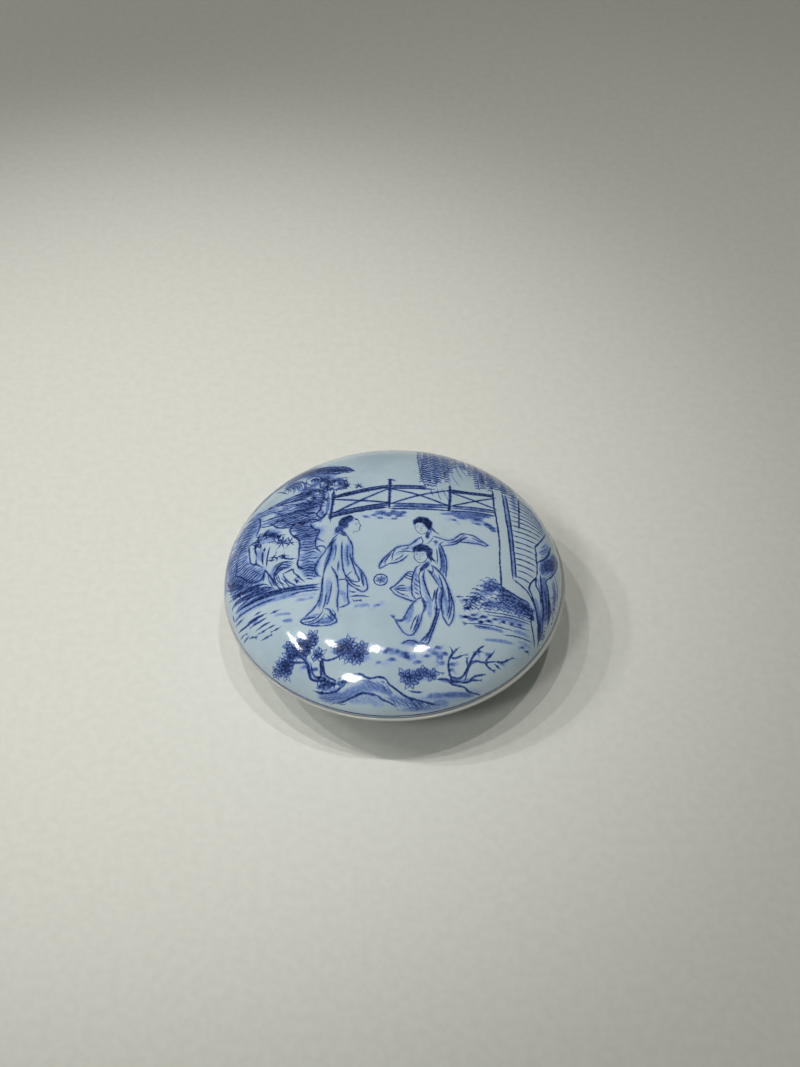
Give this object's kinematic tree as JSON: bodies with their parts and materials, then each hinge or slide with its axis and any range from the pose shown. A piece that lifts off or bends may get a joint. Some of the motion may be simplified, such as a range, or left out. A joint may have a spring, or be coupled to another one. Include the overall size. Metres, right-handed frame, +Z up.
{
  "type": "seal paste box",
  "caption": "Round footed porcelain box for vermilion seal paste, with a domed cover that lifts off a raised flange and carries a blue garden scene.",
  "frame": {"origin": "middle of the foot ring's resting face, at the height of the surface the box stands on", "axes": "+Z up through the cover's crown; -Y is the front, towards the foot of the painted scene"},
  "size_m": [0.1062, 0.1062, 0.0423],
  "materials": {
    "cover_porcelain": "bluish white porcelain painted in underglaze blue, under a clear gloss glaze",
    "box_porcelain": "bluish white porcelain under a clear gloss glaze, bare cream seat and foot ring",
    "paste": "kneaded vermilion seal paste with an oily sheen"
  },
  "bodies": {
    "box": {"box": "box_porcelain", "seal_paste": "paste"},
    "cover": {"cover": "cover_porcelain"}
  },
  "joints": [
    {"name": "cover_lift", "type": "slide", "parent": "box", "child": "cover", "axis": [0, 0, 1], "range_m": [0, 0.05]}
  ]
}
